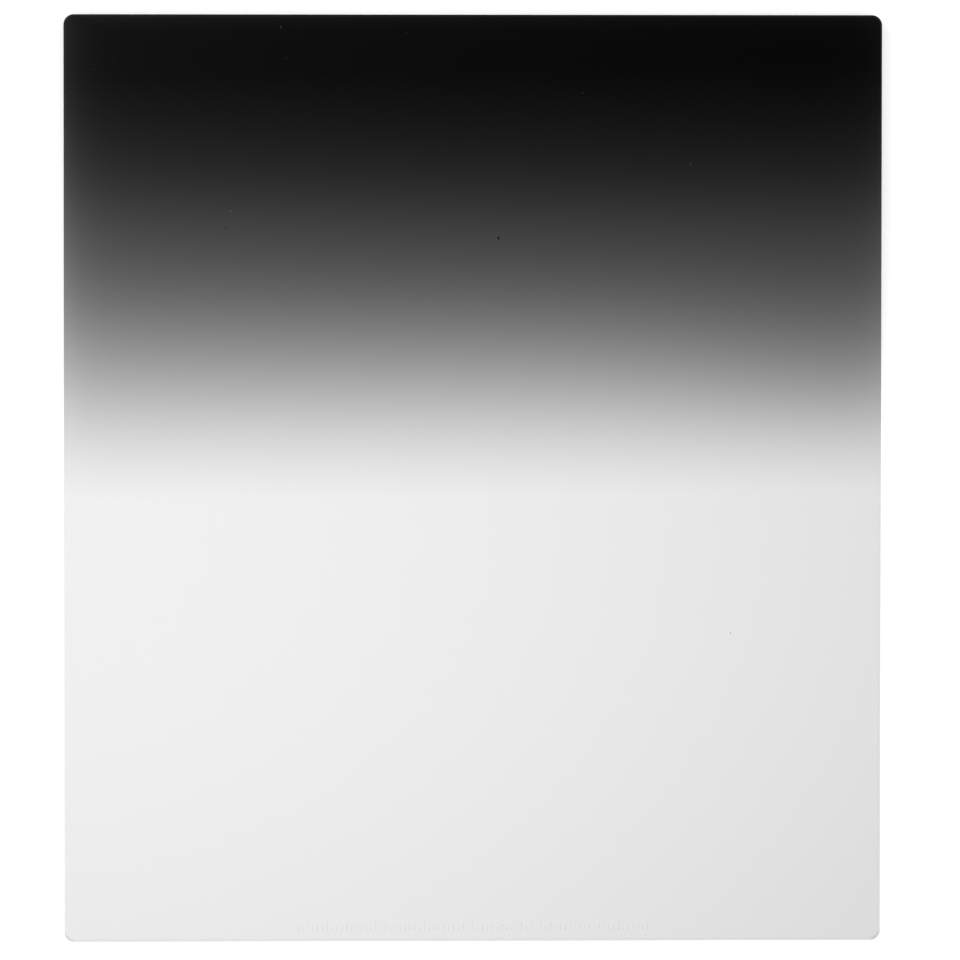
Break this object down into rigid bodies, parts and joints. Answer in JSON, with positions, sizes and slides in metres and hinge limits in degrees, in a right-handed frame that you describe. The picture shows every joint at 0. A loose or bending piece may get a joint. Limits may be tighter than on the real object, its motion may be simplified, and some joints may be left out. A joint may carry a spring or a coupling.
{
  "type": "square graduated nd filter",
  "caption": "Flat slot-in camera filter of clear resin with rounded, bevelled edges. One end is dyed neutral grey and fades to clear at the middle, to hold back a bright sky.",
  "frame": {"origin": "middle of the back face, the face that the plate lies on", "axes": "+Z out of the front face, +Y along the height towards the dark end, +X across the width"},
  "size_m": [0.084, 0.0952, 0.002],
  "materials": {
    "graduated_resin": "polished clear optical resin, dyed neutral grey at one end"
  },
  "bodies": {
    "root": {"filter_plate": "graduated_resin"}
  },
  "joints": []
}
